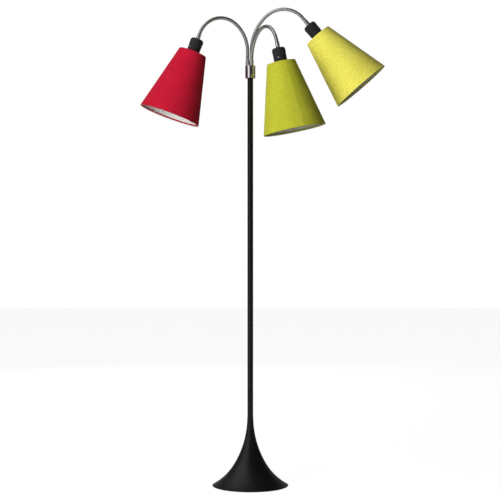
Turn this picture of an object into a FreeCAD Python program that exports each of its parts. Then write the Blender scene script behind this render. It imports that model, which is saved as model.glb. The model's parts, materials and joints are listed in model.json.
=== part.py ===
import FreeCAD, Part
import math
import os
import Sketcher

# Tree floor lamp: a spun trumpet base, a two-part pole, a collar, and three
# gooseneck hoses that each carry a lampholder with a push button and a fabric shade.
# Millimetres, +Z up, +X to the right and -Y towards the viewer.
# The origin is the centre of the base's underside.

doc = FreeCAD.newDocument("tree_floor_lamp")
sheet = doc.addObject("Spreadsheet::Sheet", "Sizes")

ARMS = ("left", "front", "right")
NUT_SIDES = 6
SPOKES = 3


class Size:
    """A length or angle that knows its value and the formula that binds it to the sheet."""

    def __init__(self, value, formula):
        self.value = float(value)
        self.formula = formula

    def __add__(self, other):
        other = as_size(other)
        return Size(self.value + other.value, "(%s + %s)" % (self.formula, other.formula))

    def __sub__(self, other):
        other = as_size(other)
        return Size(self.value - other.value, "(%s - %s)" % (self.formula, other.formula))

    def __mul__(self, other):
        other = as_size(other)
        return Size(self.value * other.value, "(%s * %s)" % (self.formula, other.formula))

    def __truediv__(self, other):
        other = as_size(other)
        return Size(self.value / other.value, "(%s / %s)" % (self.formula, other.formula))

    def __neg__(self):
        return Size(-self.value, "(0 - %s)" % self.formula)

    def __radd__(self, other):
        return as_size(other) + self

    def __rsub__(self, other):
        return as_size(other) - self

    def __rmul__(self, other):
        return as_size(other) * self


def as_size(number):
    """Wrap a plain number so that it can stand in a formula."""
    if isinstance(number, Size):
        return number
    return Size(number, repr(float(number)))


class Sizes:
    """The driving dimensions, one spreadsheet row each."""

    def __init__(self):
        self.row = 0

    def add(self, name, value):
        """Write one named size to the sheet."""
        self.row += 1
        sheet.set("A%d" % self.row, name.replace("_", " "))
        sheet.set("B%d" % self.row, repr(float(value)))
        sheet.setAlias("B%d" % self.row, name)
        setattr(self, name, Size(value, "Sizes.%s" % name))


dim = Sizes()

# Clearances
dim.add("running_gap", 0.05)
dim.add("seat_gap", 0.1)
dim.add("free_gap", 0.4)

# Base
dim.add("base_radius", 119.2)
dim.add("base_height", 215)
dim.add("neck_radius", 9.6)
dim.add("flare_knee_radius", 51)
dim.add("flare_knee_height", 67)
dim.add("flare_rim_slope", 60)
dim.add("base_wall", 1.6)
dim.add("rim_height", 1.2)
dim.add("weight_bottom_radius", 98)
dim.add("weight_top_radius", 52)
dim.add("weight_thickness", 32)
dim.add("plate_radius", 108)
dim.add("plate_thickness", 2)
dim.add("pad_thickness", 2)
dim.add("pad_radius", 106)
dim.add("rod_radius", 5)
dim.add("rod_bore_radius", 3.6)
dim.add("rod_above_neck", 18)
dim.add("nut_flats", 17)
dim.add("nut_thickness", 6)
dim.add("washer_radius", 15)
dim.add("washer_thickness", 2)
dim.add("grommet_radius", 4.6)
dim.add("grommet_bore_radius", 3)
dim.add("grommet_flange_radius", 6.4)
dim.add("grommet_flange_thickness", 2)
dim.add("grommet_length", 4)
dim.add("grommet_height", 16)

# Pole
dim.add("pole_radius", 9)
dim.add("pole_wall", 1.2)
dim.add("pole_joint_height", 700)
dim.add("pole_top_height", 1290)
dim.add("pole_plug_length", 14)
dim.add("joint_length", 44)
dim.add("joint_bore_radius", 4)

# Collar
dim.add("collar_radius", 16)
dim.add("collar_wall", 1.5)
dim.add("collar_grip", 12)
dim.add("collar_height", 39)
dim.add("collar_lip", 1.8)
dim.add("hub_top_thickness", 11)
dim.add("hose_circle_radius", 8.4)
dim.add("clamp_screw_radius", 2)
dim.add("clamp_screw_height", 6)

# Hoses and their end ferrules
dim.add("hose_radius", 5.5)
dim.add("hose_bore_radius", 3.4)
dim.add("ferrule_radius", 6.4)
dim.add("ferrule_length", 17)
dim.add("ferrule_socket_depth", 9)
dim.add("stem_radius", 4.2)
dim.add("stem_bore_radius", 2.8)
dim.add("stem_head_radius", 4.9)
dim.add("stem_head_thickness", 2)

# Lampholder
dim.add("nipple_radius", 4.8)
dim.add("nipple_length", 9)
dim.add("cap_top_radius", 14)
dim.add("cap_radius", 20.75)
dim.add("cap_round_height", 7)
dim.add("cap_height", 12.5)
dim.add("cap_wall", 2.4)
dim.add("cap_round_radius", 8)
dim.add("cap_bead", 0.6)
dim.add("cap_bead_height", 0.8)
dim.add("holder_radius", 20.3)
dim.add("holder_end_radius", 19.7)
dim.add("holder_wall", 2.6)
dim.add("flange_radius", 22.4)
dim.add("flange_thickness", 2)
dim.add("thread_radius", 19.2)
dim.add("thread_length", 17)
dim.add("holder_length", 48)
dim.add("button_depth_from_top", 30)
dim.add("recess_radius", 6)
dim.add("recess_depth", 1.3)
dim.add("button_radius", 2.6)
dim.add("button_stands_out", 2.6)
dim.add("button_stem_inside", 0.3)
dim.add("button_travel", 1.5)
dim.add("button_round", 0.5)
dim.add("insert_radius", 16.6)
dim.add("insert_top", 20)
dim.add("insert_floor", 5)
dim.add("insert_length", 38)
dim.add("insert_shoulder", 3)
dim.add("contact_radius", 4)
dim.add("contact_height", 2)

# Bulb
dim.add("bulb_cap_radius", 13)
dim.add("bulb_cap_length", 27)
dim.add("bulb_cap_taper", 2)
dim.add("bulb_cap_taper_length", 5)
dim.add("bulb_cap_shoulder", 1)
dim.add("bulb_glass_step", 0.5)
dim.add("bulb_radius", 30)
dim.add("bulb_neck_radius", 14.5)
dim.add("bulb_neck_length", 20)

# Shade
dim.add("shade_top_radius", 43.5)
dim.add("shade_bottom_radius", 95.5)
dim.add("shade_height", 208.6)
dim.add("shade_drop", 44.5)
dim.add("shade_wall", 0.9)
dim.add("wire_radius", 1.6)
dim.add("spoke_radius", 1.25)
dim.add("spoke_weld", 0.4)
dim.add("carrier_radius", 24.5)
dim.add("carrier_thickness", 1.6)
dim.add("ring_outer_radius", 23.6)
dim.add("ring_thickness", 6)
dim.add("ring_chamfer", 1)

# Bending data of the three hoses: where the arm points, the straight rise out of the
# collar, the first bend, the roll of the bend's plane, the second bend and the tail.
dim.add("left_socket_angle", 180)
dim.add("left_heading", -150.6)
dim.add("left_rise", 45.5)
dim.add("left_first_bend_radius", 100.3)
dim.add("left_first_bend_angle", 58.4)
dim.add("left_roll", -8.4)
dim.add("left_second_bend_radius", 77.6)
dim.add("left_second_bend_angle", 103)
dim.add("left_tail", 19)
dim.add("left_button_angle", 160)
dim.add("front_socket_angle", -60)
dim.add("front_heading", -64.6)
dim.add("front_rise", 16)
dim.add("front_first_bend_radius", 91)
dim.add("front_first_bend_angle", 131.9)
dim.add("front_roll", 15.1)
dim.add("front_second_bend_radius", 52.7)
dim.add("front_second_bend_angle", 44.8)
dim.add("front_tail", 17)
dim.add("front_button_angle", -148)
dim.add("right_socket_angle", 60)
dim.add("right_heading", -18.5)
dim.add("right_rise", 50.8)
dim.add("right_first_bend_radius", 134.3)
dim.add("right_first_bend_angle", 51.3)
dim.add("right_roll", 10.8)
dim.add("right_second_bend_radius", 80.9)
dim.add("right_second_bend_angle", 89.5)
dim.add("right_tail", 28)
dim.add("right_button_angle", 177)

doc.recompute()

ZERO = Size(0, "0")


def origin_plane(body, role):
    """The body's own origin plane or axis with this role."""
    for feature in body.Origin.OriginFeatures:
        if feature.Role == role:
            return feature
    raise ValueError("no origin feature " + role)


def add_sketch(body, name, role="XZ_Plane"):
    """A sketch attached flat to one of the body's origin planes."""
    sketch = body.newObject("Sketcher::SketchObject", name)
    sketch.AttachmentSupport = (origin_plane(body, role), [""])
    sketch.MapMode = "FlatFace"
    return sketch


def bind(sketch, kind, geometry, place, size):
    """Add one driving constraint and bind it to the sheet."""
    index = sketch.addConstraint(Sketcher.Constraint(kind, -1, 1, geometry, place, size.value))
    sketch.setExpression("Constraints[%d]" % index, size.formula)


def fix_point(sketch, geometry, place, across, up):
    """Hold a sketch point at its distances from the origin."""
    if across is ZERO:
        sketch.addConstraint(Sketcher.Constraint("PointOnObject", geometry, place, -2))
    else:
        bind(sketch, "DistanceX", geometry, place, across)
    if up is ZERO:
        sketch.addConstraint(Sketcher.Constraint("PointOnObject", geometry, place, -1))
    else:
        bind(sketch, "DistanceY", geometry, place, up)


def draw_outline(sketch, corners):
    """A closed outline. A corner is (across, up), or (across, up, radius) where the edge
    that ends there is an arc of that radius, hollow if the radius is negative."""
    corners = [tuple(as_size(v) if not isinstance(v, Size) else v for v in c) for c in corners]
    count = len(corners)
    for index in range(count):
        start = corners[index]
        end = corners[(index + 1) % count]
        begin = FreeCAD.Vector(start[0].value, start[1].value, 0)
        finish = FreeCAD.Vector(end[0].value, end[1].value, 0)
        if len(end) == 2:
            sketch.addGeometry(Part.LineSegment(begin, finish), False)
        else:
            sketch.addGeometry(arc_between(begin, finish, end[2].value), False)
    for index in range(count):
        edge = sketch.Geometry[index]
        following = (index + 1) % count
        forward = not is_arc(edge) or edge_starts_at(edge, corners[index])
        end_place = 2 if forward else 1
        next_edge = sketch.Geometry[following]
        next_forward = not is_arc(next_edge) or edge_starts_at(next_edge, corners[following])
        next_place = 1 if next_forward else 2
        sketch.addConstraint(
            Sketcher.Constraint("Coincident", index, end_place, following, next_place))
        fix_point(sketch, following, next_place, corners[following][0], corners[following][1])
        if is_arc(edge):
            radius = corners[following][2]
            bound = Size(abs(radius.value), "abs(%s)" % radius.formula)
            place = sketch.addConstraint(Sketcher.Constraint("Radius", index, bound.value))
            sketch.setExpression("Constraints[%d]" % place, bound.formula)


def is_arc(edge):
    """Whether a sketch edge is an arc."""
    return isinstance(edge, Part.ArcOfCircle)


def edge_starts_at(edge, corner):
    """Whether an arc's own start is at the corner, since arcs always run one way round."""
    point = FreeCAD.Vector(corner[0].value, corner[1].value, 0)
    return (edge.StartPoint - point).Length < (edge.EndPoint - point).Length


def arc_between(begin, finish, radius):
    """The minor arc from begin to finish, its centre on the left for a positive radius."""
    chord = finish - begin
    middle = (begin + finish) * 0.5
    left = FreeCAD.Vector(-chord.y, chord.x, 0).normalize()
    side = 1.0 if radius > 0 else -1.0
    reach = math.sqrt(max(radius * radius - chord.Length ** 2 / 4, 0.0))
    centre = middle + left * (side * reach)
    circle = Part.Circle(centre, FreeCAD.Vector(0, 0, 1), abs(radius))
    first, last = (begin, finish) if radius > 0 else (finish, begin)
    first_angle = math.atan2(first.y - centre.y, first.x - centre.x)
    last_angle = math.atan2(last.y - centre.y, last.x - centre.x)
    if last_angle < first_angle:
        last_angle += 2 * math.pi
    return Part.ArcOfCircle(circle, first_angle, last_angle)


def turned(label, corners):
    """A body made by turning an outline once round its own Z axis."""
    body = doc.addObject("PartDesign::Body", label)
    body.Label = label
    sketch = add_sketch(body, label + "_outline")
    draw_outline(sketch, corners)
    turn = body.newObject("PartDesign::Revolution", label + "_turn")
    turn.Profile = sketch
    turn.ReferenceAxis = (sketch, ["V_Axis"])
    turn.Angle = 360
    sketch.Visibility = False
    body.Tip = turn
    doc.recompute()
    return body


def bind_property(feature, name, size):
    """Set a property of a feature and bind it to the sheet."""
    setattr(feature, name, size.value)
    feature.setExpression(name, size.formula)


def round_bar(name, radius, length):
    """A plain cylinder bound to the sheet, used to cut and to join."""
    bar = doc.addObject("Part::Cylinder", name)
    bind_property(bar, "Radius", radius)
    bind_property(bar, "Height", length)
    return bar


def cut(label, base, tools):
    """The base less all the tools."""
    if len(tools) == 1:
        tool = tools[0]
    else:
        tool = doc.addObject("Part::MultiFuse", label + "_cutters")
        tool.Shapes = tools
    result = doc.addObject("Part::Cut", label + "_cut")
    result.Base = base
    result.Tool = tool
    result.Label = label
    return result


def joined(label, pieces):
    """Several shapes welded into one piece."""
    result = doc.addObject("Part::MultiFuse", label + "_weld")
    result.Shapes = pieces
    result.Label = label
    return result


def upright(x, y, z):
    """A place without a turn."""
    return FreeCAD.Placement(FreeCAD.Vector(x, y, z), FreeCAD.Rotation())


def radial_place(angle, height, reach):
    """A place at reach from the axis, whose Z axis points outwards at the angle."""
    outward = FreeCAD.Vector(math.cos(angle), math.sin(angle), 0)
    turn = FreeCAD.Rotation(FreeCAD.Vector(0, 0, 1), outward)
    return FreeCAD.Placement(outward * reach + FreeCAD.Vector(0, 0, height), turn)


class Frame:
    """A point on a hose with its direction and the side that it bends towards."""

    def __init__(self, point, ahead, side):
        self.point = point
        self.ahead = ahead
        self.side = side

    def moved(self, length):
        """The frame after a straight run."""
        return Frame(self.point + self.ahead * length, self.ahead, self.side)

    def bent(self, radius, angle):
        """The frame after a bend towards the side."""
        point = self.point + self.ahead * (radius * math.sin(angle))
        point = point + self.side * (radius * (1 - math.cos(angle)))
        ahead = self.ahead * math.cos(angle) + self.side * math.sin(angle)
        side = self.side * math.cos(angle) - self.ahead * math.sin(angle)
        return Frame(point, ahead, side)

    def rolled(self, angle):
        """The frame after its bending plane rolls about the hose."""
        across = self.ahead.cross(self.side)
        side = self.side * math.cos(angle) + across * math.sin(angle)
        return Frame(self.point, self.ahead, side)

    def placement(self):
        """Z along the hose and X towards the side."""
        across = self.ahead.cross(self.side)
        turn = FreeCAD.Rotation(self.side, across, self.ahead, "ZXY")
        return FreeCAD.Placement(self.point, turn)


class HoseRoute:
    """The stations of one hose, worked out from its bending data."""

    def __init__(self, arm):
        self.arm = arm
        socket = math.radians(self.get("socket_angle").value)
        heading = math.radians(self.get("heading").value)
        ring = dim.hose_circle_radius.value
        top = (dim.pole_top_height - dim.collar_grip + dim.collar_height).value
        seat = FreeCAD.Vector(ring * math.cos(socket), ring * math.sin(socket), top)
        side = FreeCAD.Vector(math.cos(heading), math.sin(heading), 0)
        first_turn = math.radians(self.get("first_bend_angle").value)
        second_turn = math.radians(self.get("second_bend_angle").value)
        self.seat = Frame(seat, FreeCAD.Vector(0, 0, 1), side)
        self.first = self.seat.moved(self.get("rise").value)
        before_roll = self.first.bent(self.get("first_bend_radius").value, first_turn)
        self.second = before_roll.rolled(math.radians(self.get("roll").value))
        self.tail = self.second.bent(self.get("second_bend_radius").value, second_turn)
        self.end = self.tail.moved(self.get("tail").value)

    def get(self, name):
        """One of this hose's sizes."""
        return getattr(dim, self.arm + "_" + name)

    def length(self):
        """The hose's whole length along its centre line."""
        first = self.get("first_bend_radius").value * math.radians(
            self.get("first_bend_angle").value)
        second = self.get("second_bend_radius").value * math.radians(
            self.get("second_bend_angle").value)
        return self.get("rise").value + first + second + self.get("tail").value


def hose_piece(label, frame, run_before=None, bend_radius=None, bend_angle=None):
    """A stretch of hose with its bore: a straight run that ends at the frame, then a bend."""
    body = doc.addObject("PartDesign::Body", label)
    body.Label = label
    sketch = add_sketch(body, label + "_section", "XY_Plane")
    for radius in (dim.hose_radius, dim.hose_bore_radius):
        circle = sketch.addGeometry(
            Part.Circle(FreeCAD.Vector(0, 0, 0), FreeCAD.Vector(0, 0, 1), radius.value), False)
        sketch.addConstraint(Sketcher.Constraint("Coincident", circle, 3, -1, 1))
        index = sketch.addConstraint(Sketcher.Constraint("Radius", circle, radius.value))
        sketch.setExpression("Constraints[%d]" % index, radius.formula)
    if bend_radius is not None:
        reach = bend_radius.value
        axis = sketch.addGeometry(Part.LineSegment(
            FreeCAD.Vector(reach, -reach, 0), FreeCAD.Vector(reach, reach, 0)), True)
        for place, far in ((1, -bend_radius), (2, bend_radius)):
            fix_point(sketch, axis, place, bend_radius, far)
    if run_before is not None:
        run = body.newObject("PartDesign::Pad", label + "_run")
        run.Profile = sketch
        bind_property(run, "Length", run_before)
        run.Reversed = True
        body.Tip = run
    if bend_radius is not None:
        bend = body.newObject("PartDesign::Revolution", label + "_bend")
        bend.Profile = sketch
        bend.ReferenceAxis = (sketch, ["Axis0"])
        bind_property(bend, "Angle", bend_angle)
        body.Tip = bend
        doc.recompute()
        if bend.Shape.BoundBox.ZMax < dim.hose_radius.value:
            bend.Reversed = True
    doc.recompute()
    sketch.Visibility = False
    body.Placement = frame.placement()
    return body


def base_parts():
    """The trumpet base and everything inside it."""
    knee_radius = dim.flare_knee_radius
    knee_height = dim.flare_knee_height
    wall = dim.base_wall
    # The upper arc leaves the neck upright; its radius follows from where the knee is.
    rise = dim.base_height - knee_height
    spread = knee_radius - dim.neck_radius
    upper = (spread * spread + rise * rise) / (2 * spread)
    # The lower arc joins the knee to the rim and bulges by half the turn that is left.
    fall = knee_height - dim.rim_height
    reach = dim.base_radius - knee_radius
    chord = Size(math.hypot(fall.value, reach.value),
                 "sqrt(%s ^ 2 + %s ^ 2)" % (fall.formula, reach.formula))
    knee_turn = Size(math.degrees(math.asin(rise.value / upper.value)),
                     "(asin(%s / %s) / 1 deg)" % (rise.formula, upper.formula))
    half_turn = (dim.flare_rim_slope - knee_turn) / 2
    lower = Size(chord.value / (2 * math.sin(math.radians(half_turn.value))),
                 "(%s / (2 * sin(%s)))" % (chord.formula, half_turn.formula))
    # The inside lies one wall behind the outside, square to the slope at the knee and rim.
    knee_across = Size(math.cos(math.radians(knee_turn.value)), "cos(%s)" % knee_turn.formula)
    knee_down = Size(math.sin(math.radians(knee_turn.value)), "sin(%s)" % knee_turn.formula)
    rim_across = Size(math.cos(math.radians(dim.flare_rim_slope.value)),
                      "cos(%s)" % dim.flare_rim_slope.formula)
    shell = turned("base_shell_spinning", [
        (dim.neck_radius, dim.base_height),
        (knee_radius, knee_height, upper),
        (dim.base_radius, dim.rim_height, lower),
        (dim.base_radius - wall / rim_across, dim.rim_height),
        (knee_radius - wall * knee_across, knee_height - wall * knee_down, -(lower + wall)),
        (dim.neck_radius - wall, dim.base_height, -(upper + wall))])

    flare = arc_between(
        FreeCAD.Vector(knee_radius.value, knee_height.value, 0),
        FreeCAD.Vector(dim.base_radius.value, dim.rim_height.value, 0), lower.value)
    flare_centre = FreeCAD.Vector(0, flare.Center.x, flare.Center.y)
    hole = round_bar("grommet_hole", dim.grommet_radius + dim.seat_gap, dim.grommet_length * 2)
    hole.Placement = grommet_place(flare_centre, lower.value, -dim.grommet_length.value)
    cut("base_shell", shell, [hole])

    plate_low = dim.pad_thickness
    plate_high = plate_low + dim.plate_thickness
    hole_radius = dim.rod_radius + dim.seat_gap
    turned("base_plate", [
        (hole_radius, plate_low), (dim.plate_radius, plate_low),
        (dim.plate_radius, plate_high), (hole_radius, plate_high)])
    turned("base_pad", [
        (ZERO, ZERO), (dim.pad_radius, ZERO), (dim.pad_radius, plate_low), (ZERO, plate_low)])
    weight_high = plate_high + dim.weight_thickness
    turned("base_weight", [
        (hole_radius, plate_high), (dim.weight_bottom_radius, plate_high),
        (dim.weight_top_radius, weight_high), (hole_radius, weight_high)])
    turned("base_washer", [
        (hole_radius, weight_high), (dim.washer_radius, weight_high),
        (dim.washer_radius, weight_high + dim.washer_thickness),
        (hole_radius, weight_high + dim.washer_thickness)])
    nut_low = weight_high + dim.washer_thickness
    base_nut(nut_low, hole_radius)
    turned("base_rod", [
        (dim.rod_bore_radius, plate_low), (dim.rod_radius, plate_low),
        (dim.rod_radius, dim.base_height + dim.rod_above_neck),
        (dim.rod_bore_radius, dim.base_height + dim.rod_above_neck)])
    grommet = turned("cable_grommet", [
        (dim.grommet_bore_radius, ZERO), (dim.grommet_radius, ZERO),
        (dim.grommet_radius, dim.grommet_length),
        (dim.grommet_flange_radius, dim.grommet_length),
        (dim.grommet_flange_radius, dim.grommet_length + dim.grommet_flange_thickness),
        (dim.grommet_bore_radius, dim.grommet_length + dim.grommet_flange_thickness)])
    # A flat flange on the hollow flare touches at its edge, this far out from the middle.
    rise_at_edge = dim.grommet_flange_radius.value ** 2 / (2 * lower.value)
    grommet.Placement = grommet_place(flare_centre, lower.value,
                                      rise_at_edge - dim.grommet_length.value)


def grommet_place(centre, radius, out):
    """A place behind the base, on the flare and square to it, moved outwards by out."""
    turn = math.asin((centre.z - dim.grommet_height.value) / radius)
    square = FreeCAD.Vector(0, math.cos(turn), math.sin(turn))
    rotation = FreeCAD.Rotation(FreeCAD.Vector(0, 0, 1), square)
    return FreeCAD.Placement(centre - square * (radius - out), rotation)


def base_nut(low, hole_radius):
    """The hexagon nut that clamps the weight."""
    body = doc.addObject("PartDesign::Body", "base_nut")
    body.Label = "base_nut"
    sketch = add_sketch(body, "base_nut_outline", "XY_Plane")
    corner = dim.nut_flats.value / math.sqrt(3)
    turns = [2 * math.pi * k / NUT_SIDES for k in range(NUT_SIDES)]
    points = [FreeCAD.Vector(corner * math.cos(turn), corner * math.sin(turn), 0)
              for turn in turns]
    for k in range(NUT_SIDES):
        sketch.addGeometry(Part.LineSegment(points[k], points[(k + 1) % NUT_SIDES]), False)
    for k in range(NUT_SIDES):
        sketch.addConstraint(Sketcher.Constraint("Coincident", k, 2, (k + 1) % NUT_SIDES, 1))
    across_corner = Size(corner, "%s / sqrt(3)" % dim.nut_flats.formula)
    for k, turn in enumerate(turns):
        fix_point(sketch, k, 1, across_corner * math.cos(turn),
                  across_corner * math.sin(turn) if k % (NUT_SIDES // 2) else ZERO)
    hole = sketch.addGeometry(
        Part.Circle(FreeCAD.Vector(0, 0, 0), FreeCAD.Vector(0, 0, 1), hole_radius.value), False)
    sketch.addConstraint(Sketcher.Constraint("Coincident", hole, 3, -1, 1))
    index = sketch.addConstraint(Sketcher.Constraint("Radius", hole, hole_radius.value))
    sketch.setExpression("Constraints[%d]" % index, hole_radius.formula)
    pad = body.newObject("PartDesign::Pad", "base_nut_pad")
    pad.Profile = sketch
    bind_property(pad, "Length", dim.nut_thickness)
    body.Tip = pad
    body.Placement = upright(0, 0, low.value)
    doc.recompute()


def pole_parts():
    """The two pole tubes and the threaded joint between them."""
    inside = dim.pole_radius - dim.pole_wall
    joint_low = dim.pole_joint_height - dim.joint_length / 2
    joint_high = dim.pole_joint_height + dim.joint_length / 2
    rod_hole = dim.rod_radius + dim.seat_gap
    plug_top = dim.base_height + dim.pole_plug_length
    turned("pole_lower", [
        (rod_hole, dim.base_height), (dim.pole_radius, dim.base_height),
        (dim.pole_radius, dim.pole_joint_height), (inside, dim.pole_joint_height),
        (inside, plug_top), (rod_hole, plug_top)])
    turned("pole_upper", [
        (inside, dim.pole_joint_height), (dim.pole_radius, dim.pole_joint_height),
        (dim.pole_radius, dim.pole_top_height), (inside, dim.pole_top_height)])
    joint_radius = inside - dim.seat_gap
    turned("pole_joint", [
        (dim.joint_bore_radius, joint_low), (joint_radius, joint_low),
        (joint_radius, joint_high), (dim.joint_bore_radius, joint_high)])


def collar_parts():
    """The chromed sleeve, the hub that the hoses turn in and the screw that clamps it."""
    low = dim.pole_top_height - dim.collar_grip
    high = low + dim.collar_height
    inner = dim.collar_radius - dim.collar_wall
    pole_hole = dim.pole_radius + dim.seat_gap
    hub_radius = inner - dim.seat_gap
    hub_low = low + dim.collar_lip
    # The hoses' stem heads turn freely in the chamber.
    chamber_radius = dim.hose_circle_radius + dim.stem_head_radius + dim.seat_gap
    chamber_low = dim.pole_top_height
    chamber_high = high - dim.hub_top_thickness
    sleeve = turned("collar_sleeve_tube", [
        (pole_hole, low), (dim.collar_radius, low), (dim.collar_radius, high),
        (inner, high), (inner, hub_low), (pole_hole, hub_low)])
    screw_height = hub_low.value + dim.clamp_screw_height.value
    screw_hole = round_bar("sleeve_screw_hole", dim.clamp_screw_radius + dim.seat_gap,
                           dim.collar_radius)
    screw_hole.Placement = radial_place(math.pi / 2, screw_height, dim.pole_radius.value)
    cut("collar_sleeve", sleeve, [screw_hole])
    hub = turned("collar_hub_turning", [
        (pole_hole, hub_low), (hub_radius, hub_low), (hub_radius, high),
        (ZERO, high), (ZERO, chamber_high),
        (chamber_radius, chamber_high), (chamber_radius, chamber_low),
        (pole_hole, chamber_low)])
    holes = []
    for arm in ARMS:
        angle = math.radians(getattr(dim, arm + "_socket_angle").value)
        hole = round_bar("hub_hole_" + arm, dim.stem_radius + dim.running_gap,
                         dim.hub_top_thickness * 2)
        ring = dim.hose_circle_radius.value
        hole.Placement = upright(ring * math.cos(angle), ring * math.sin(angle),
                                 chamber_high.value - dim.hub_top_thickness.value / 2)
        holes.append(hole)
    hub_screw_hole = round_bar("hub_screw_hole", dim.clamp_screw_radius + dim.seat_gap,
                               dim.collar_radius)
    hub_screw_hole.Placement = screw_hole.Placement
    cut("collar_hub", hub, holes + [hub_screw_hole])
    screw = turned("collar_screw", [
        (ZERO, ZERO), (dim.clamp_screw_radius, ZERO),
        (dim.clamp_screw_radius, dim.collar_radius - dim.pole_radius - dim.seat_gap * 2),
        (ZERO, dim.collar_radius - dim.pole_radius - dim.seat_gap * 2)])
    screw.Placement = radial_place(math.pi / 2, screw_height,
                                   dim.pole_radius.value + dim.seat_gap.value)


def arm_parts(arm):
    """One hose with its ferrules, its lampholder, bulb, button and shade."""
    route = HoseRoute(arm)
    print("hose", arm, "length", round(route.length(), 1), "least bend radius",
          min(route.get("first_bend_radius").value, route.get("second_bend_radius").value))
    socket_wall = dim.hose_radius + dim.seat_gap
    ferrule_floor = dim.ferrule_length - dim.ferrule_socket_depth
    stem_end = -(dim.hub_top_thickness + dim.free_gap)
    socket = turned("hose_socket_" + arm, [
        (dim.stem_bore_radius, stem_end - dim.stem_head_thickness),
        (dim.stem_head_radius, stem_end - dim.stem_head_thickness),
        (dim.stem_head_radius, stem_end), (dim.stem_radius, stem_end),
        (dim.stem_radius, dim.free_gap), (dim.ferrule_radius, dim.free_gap),
        (dim.ferrule_radius, dim.ferrule_length), (socket_wall, dim.ferrule_length),
        (socket_wall, ferrule_floor), (dim.stem_bore_radius, ferrule_floor)])
    socket.Placement = route.seat.placement()
    hose_piece("hose_lower_" + arm, route.first,
               route.get("rise") - ferrule_floor,
               route.get("first_bend_radius"), route.get("first_bend_angle"))
    hose_piece("hose_upper_" + arm, route.second, None,
               route.get("second_bend_radius"), route.get("second_bend_angle"))
    hose_piece("hose_tail_" + arm, route.end.moved(-ferrule_floor.value),
               route.get("tail") - ferrule_floor)
    head_parts(arm, route.end)


def head_parts(arm, end):
    """The lampholder and shade, built along Z from the holder's top and then placed."""
    place = end.placement()
    socket_wall = dim.hose_radius + dim.seat_gap
    ferrule_floor = dim.ferrule_length - dim.ferrule_socket_depth
    pieces = []
    nipple_hole = dim.nipple_radius + dim.seat_gap
    pieces.append(turned("hose_end_" + arm, [
        (socket_wall, -dim.ferrule_length), (dim.ferrule_radius, -dim.ferrule_length),
        (dim.ferrule_radius, ZERO), (dim.nipple_radius, ZERO),
        (dim.nipple_radius, dim.nipple_length), (dim.stem_bore_radius, dim.nipple_length),
        (dim.stem_bore_radius, -ferrule_floor), (socket_wall, -ferrule_floor)]))
    cap_inside = dim.cap_radius - dim.cap_wall
    pieces.append(turned("holder_cap_" + arm, [
        (nipple_hole, ZERO), (dim.cap_top_radius, ZERO),
        (dim.cap_radius - dim.cap_bead, dim.cap_round_height, dim.cap_round_radius),
        (dim.cap_radius, dim.cap_round_height + dim.cap_bead_height),
        (dim.cap_radius, dim.cap_height), (cap_inside, dim.cap_height),
        (cap_inside, dim.cap_round_height), (dim.cap_top_radius, dim.cap_wall),
        (nipple_hole, dim.cap_wall)]))
    body_top = dim.cap_height
    thread_end = dim.holder_length + dim.thread_length
    bore = dim.holder_end_radius - dim.holder_wall
    body = turned("holder_body_turning_" + arm, [
        (bore, body_top), (dim.holder_radius, body_top),
        (dim.holder_end_radius, dim.holder_length - dim.flange_thickness),
        (dim.flange_radius, dim.holder_length - dim.flange_thickness),
        (dim.flange_radius, dim.holder_length), (dim.thread_radius, dim.holder_length),
        (dim.thread_radius, thread_end), (bore, thread_end)])
    angle = math.radians(getattr(dim, arm + "_button_angle").value)
    height = dim.button_depth_from_top.value
    recess_floor = dim.holder_end_radius - dim.recess_depth
    recess = round_bar("recess_" + arm, dim.recess_radius, dim.flange_radius - recess_floor)
    recess.Placement = radial_place(angle, height, recess_floor.value)
    hole = round_bar("button_hole_" + arm, dim.button_radius + dim.running_gap,
                     dim.holder_radius)
    hole.Placement = radial_place(angle, height, bore.value / 2)
    pieces.append(cut("holder_body_" + arm, body, [recess, hole]))
    button_inner = bore - dim.button_stem_inside
    button_length = recess_floor + dim.button_stands_out - button_inner
    button = turned("switch_button_" + arm, [
        (ZERO, ZERO), (dim.button_radius, ZERO),
        (dim.button_radius, button_length - dim.button_round),
        (dim.button_radius - dim.button_round, button_length, dim.button_round),
        (ZERO, button_length)])
    button.Placement = place.multiply(radial_place(angle, height, button_inner.value))
    # The insert is narrower beside the button, which stops short of it when it is pressed.
    insert_neck = button_inner - dim.button_travel - dim.seat_gap
    neck_end = dim.button_depth_from_top + dim.button_radius + dim.free_gap
    floor_top = dim.insert_top + dim.insert_floor
    cap_bore = dim.bulb_cap_radius + dim.free_gap
    pieces.append(turned("socket_insert_" + arm, [
        (dim.stem_bore_radius, dim.insert_top),
        (insert_neck, dim.insert_top), (insert_neck, neck_end),
        (dim.insert_radius, neck_end + dim.insert_shoulder),
        (dim.insert_radius, dim.insert_top + dim.insert_length),
        (cap_bore, dim.insert_top + dim.insert_length), (cap_bore, floor_top),
        (dim.stem_bore_radius, floor_top)]))
    contact_top = floor_top + dim.contact_height
    pieces.append(turned("socket_contact_" + arm, [
        (ZERO, floor_top), (dim.contact_radius, floor_top),
        (dim.contact_radius, contact_top), (ZERO, contact_top)]))
    pieces += bulb_parts(arm, contact_top)
    pieces += shade_parts(arm)
    for piece in pieces:
        piece.Placement = place


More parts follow.
